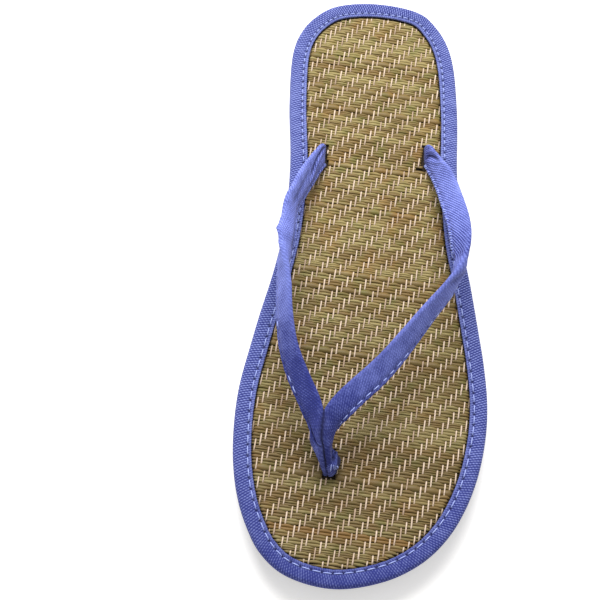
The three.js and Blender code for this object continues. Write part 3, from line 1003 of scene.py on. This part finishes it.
def strap_part(stations, creases, tone_table, gathering, tuck):
    path, face, side, bow, along = strap_lines(stations)
    half = strap_width / 2
    turns = np.linspace(0, math.pi / 2, 6)[1:]
    fold_in = [half - strap_thickness / 2 * (1 - math.sin(t)) for t in turns]
    sewn_in = [-half + sewn_edge_half * (1 - math.sin(t)) for t in turns[::-1]]
    flats = list(np.linspace(-half + sewn_edge_half, half - strap_thickness / 2, 25))
    upper = sewn_in + flats + fold_in
    section = [(u, 1) for u in upper] + [(u, -1) for u in upper[-2:0:-1]]
    pulled = 0.5 - 0.5 * np.cos(2 * math.pi * along / strap_stitch)
    from_hole = ((along / strap_stitch + 0.5) % 1 - 0.5) * strap_stitch
    numbers = np.arange(len(path)) / strap_steps - 2
    swell = 1 + fork_swell * smooth_step(numbers, *fork_stations)
    rings = []
    pits = []
    across = [0.0]
    for place, (u, sign) in enumerate(section):
        from_seam = u + half - strap_seam
        press = bell(from_seam, row_groove) * (row_depth + row_pull * (1 - pulled))
        opened = swell + twist_bulge * (1 - (u / half) ** 2) * bell(numbers - twist_station, twist_reach)
        out = sign * (half_thickness(u) * opened - press) + bowed(bow, u)
        # Painted shade at the row's needle holes, and in the creases on the face that is seen.
        pit = bell(from_seam, row_hole_across) * bell(from_hole, row_hole_along)
        for crease in creases:
            share = np.clip((numbers - crease.start) / (crease.end - crease.start), 0, 1)
            begun = smooth_step(numbers, crease.start - crease_fades[0], crease.start + crease_fades[1])
            ended = smooth_step(numbers, crease.end - crease_fades[1], crease.end + crease_fades[0])
            line = crease.edge_start + (crease.edge_end - crease.edge_start) * share
            cross = begun * (1 - ended) * bell(u - line, crease.soft)
            out = out + crease.depth * cross
            pit = np.maximum(pit, max(-sign * crease.depth, 0) * crease_shade * cross)
        near_edge = 1 - smooth_step(np.array(u), -half, -half + row_pull_reach)
        edge_pull = row_pull * (pulled - 0.5) * near_edge
        drawn_in = u * looked_up(gathering if u > 0 else tuck, numbers)
        rings.append(path + side * (drawn_in - edge_pull)[:, None] + face * out[:, None])
        pits.append(pit)
        following = section[(place + 1) % len(section)]
        across.append(across[-1] + max(abs(following[0] - u), 0.15))
    part = skin(np.stack(rings, axis=1), False, along, np.asarray(across))
    # How pale each ring is: the cloth's own tone with painted light and shade along the strap.
    tone_and_light = np.repeat(looked_up(tone_table, numbers), len(section))
    rolled = 1 - folded_smooth * smooth_step(np.array([u for u, _ in section]), *folded_smooth_at)
    ribbed = np.outer(looked_up(ribs_shown, numbers), rolled).ravel()
    return part, {"pit": np.stack(pits, axis=1).ravel() * pit_shade, "tone_and_light": tone_and_light, "rib": ribbed}


def seam_shadow(points, others):
    """How dark each point is in the seam where two straps touch, 0 to 1."""
    finder = KDTree(len(others))
    for number, place in enumerate(others):
        finder.insert(place, number)
    finder.balance()
    away = np.array([finder.find(place)[2] for place in points])
    return bell(away, seam_soft)


strap_twill = twill_cloth("cotton_twill_strap", strap_rib, strap_rib_turn, strap_contrast, strap_deep,
                          strap_pale)
outer_skin, outer_marks = strap_part(outer_strap, outer_creases, outer_tone_and_light, outer_gathering, outer_tuck)
inner_skin, inner_marks = strap_part(inner_strap, inner_creases, inner_tone_and_light, inner_gathering, inner_tuck)
for strap_name, strap_skin, strap_marks, other in (("outer_strap", outer_skin, outer_marks, inner_skin),
                                                   ("inner_strap", inner_skin, inner_marks, outer_skin)):
    strap_marks["pit"] = np.maximum(strap_marks["pit"], seam_shadow(strap_skin[0], other[0]))
    strap = make_piece(strap_name, [strap_skin], strap_twill, strap_marks)
    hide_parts("thong_upper")

# Strap stitches
# One row of lockstitches near the open edge of each folded strap, partly sunk, shows on the upper
# runs. Below the bend that edge is whipped over with short slanting stitches, finer on the inner one.
strap_thread_radius = 0.22
strap_row_sunk = 0.12
outer_sunk_share = 0.3
inner_sunk_share = 0.85
whip_radius = 0.26
whip_fine_radius = 0.13
whip_sunk_share = 0.2
whip_gap = 1.5
whip_start = 0.12
whip_reach = 1.4
whip_slant = 0.5
whip_low_lift = 0.2
whip_high_lift = 0.12
whip_jitter = 0.3
whipped = (0.6, 10.6)


def strap_stitches(stations, seed, sign, sunk_share):
    path, face, side, bow, along = strap_lines(stations)
    chance = random.Random(seed)
    u = -strap_width / 2 + strap_seam
    middle = path + side * u + face * bowed(bow, u)[:, None]
    parts = []
    for number in range(2, int(along[-1] / strap_stitch) - 1):
        if chance.random() < sunk_share:
            continue
        ends = []
        for at in (number + chance.uniform(0.08, 0.2), number + chance.uniform(0.7, 0.92)):
            out = sign * unit(point_along(at * strap_stitch, along, face))
            lift = sewn_edge_half - strap_row_sunk - chance.uniform(0.0, 0.15)
            ends.append(point_along(at * strap_stitch, along, middle) + out * lift)
        parts.append(stitch(ends[0], ends[1], out, strap_thread_radius))
    return parts


def whip_stitches(stations, seed, sign, radius):
    path, face, side, bow, along = strap_lines(stations)
    chance = random.Random(seed)
    rims = []
    for from_edge in (whip_start, whip_reach):
        u = -strap_width / 2 + from_edge
        rims.append(path + side * u + face * (bowed(bow, u) + sign * half_thickness(u))[:, None])
    start, end = [along[round((station + 2) * strap_steps)] for station in whipped]
    parts = []
    for at in np.arange(start, end, whip_gap):
        if chance.random() < whip_sunk_share:
            continue
        at += chance.uniform(-whip_jitter, whip_jitter)
        out = unit(point_along(at, along, 2 * sign * face - side))
        low = point_along(at, along, rims[0]) + out * whip_low_lift
        high = point_along(at + whip_slant, along, rims[1]) + out * whip_high_lift
        parts.append(stitch(low, high, out, radius * chance.uniform(0.7, 1.15)))
    return parts


strap_row_parts = (strap_stitches(outer_strap, 41, -1, outer_sunk_share)
                   + strap_stitches(inner_strap, 42, 1, inner_sunk_share)
                   + whip_stitches(outer_strap, 43, 1, whip_radius)
                   + whip_stitches(inner_strap, 44, -1, whip_fine_radius))
strap_rows = make_piece("strap_stitches", strap_row_parts, thread)
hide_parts("thong_upper")

# Sewn end
# Where both strips are joined, a small turned end is left beside the foot of the toe post. Its cut
# edge and the three holes the needle left are sunk and painted dark as shade; four stitches hold it.
end_place = (-10.9318, -82.782)
end_reach = 2.8
end_length = 4.6
end_height = 7.6
end_square = 0.72
end_roundness = 0.35
# How pale the sewn end's cloth is, one level all over, standing for its tone and the painted light on it.
end_tone_and_light = 0.24
end_ribs = 0.4
cut_edge = (0.44, 0.62)
cut_depth = 0.5
# Each hole's place across and back, as shares of the end's reach and length, and its size.
end_holes = [(-0.08, 0.10, 0.34), (0.20, 0.55, 0.18), (-0.25, 0.60, 0.14)]
# Where each stitch starts and ends: degrees round from +X, and a share of the way up.
end_stitches = [(-112, 0.90, -100, 0.46), (-90, 0.90, -78, 0.40), (-70, 0.88, -58, 0.36),
                (-50, 0.84, -40, 0.46)]
end_stitch_lift = 0.15


def end_spot(turn, share):
    """A point on the rolled end: turn is round from +X, share is its way up."""
    shrink = np.cos(np.minimum(share, 0.995) * math.pi / 2) ** end_roundness
    ruffle = 1 + 0.12 * np.sin(3 * turn + 4 * share) + 0.07 * np.sin(7 * turn + 1.0)
    ways = [np.sign(way) * np.abs(way) ** end_square for way in (np.cos(turn), np.sin(turn))]
    x = end_place[0] + end_reach * shrink * ways[0] * ruffle
    y = end_place[1] + end_length * shrink * ways[1] * ruffle
    return np.stack([x, y, mat_high + end_height * np.sin(share * math.pi / 2) + 0 * x], axis=-1)


def sewn_end():
    turns = np.linspace(0, 2 * math.pi, 56, endpoint=False)
    rings = end_spot(*np.meshgrid(turns, np.linspace(0.06, 1.0, 26)))
    across = (rings[..., 0] - end_place[0]) / end_reach
    back = (rings[..., 1] - end_place[1]) / end_length
    # Painted shade on the cut edge and in the needle holes, which also sink.
    pits = smooth_step(across, *cut_edge)
    for at_across, at_back, size in end_holes:
        pits = np.maximum(pits, bell(np.hypot(across - at_across, back - at_back), size))
    rings[..., 2] -= cut_depth * pits
    part = skin(rings, False, np.linspace(0, end_height, len(rings)), np.linspace(0, 18, len(turns) + 1))
    return part, {"pit": pits.ravel(), "tone_and_light": np.full(pits.size, end_tone_and_light),
                  "rib": np.full(pits.size, end_ribs)}


end_skin, end_marks = sewn_end()
end_piece = make_piece("sewn_end", [end_skin], strap_twill, end_marks)
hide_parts("thong_upper")

end_parts = []
for start_turn, start_share, end_turn, end_share in end_stitches:
    start = end_spot(math.radians(start_turn), start_share)
    end = end_spot(math.radians(end_turn), end_share)
    out = unit(start + end - 2 * np.array([*end_place, mat_high + 1.5]))
    lift = out * end_stitch_lift
    end_parts.append(stitch(start + lift, end + lift, out, whip_radius))
end_rows = make_piece("sewn_end_stitches", end_parts, thread)
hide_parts("thong_upper")
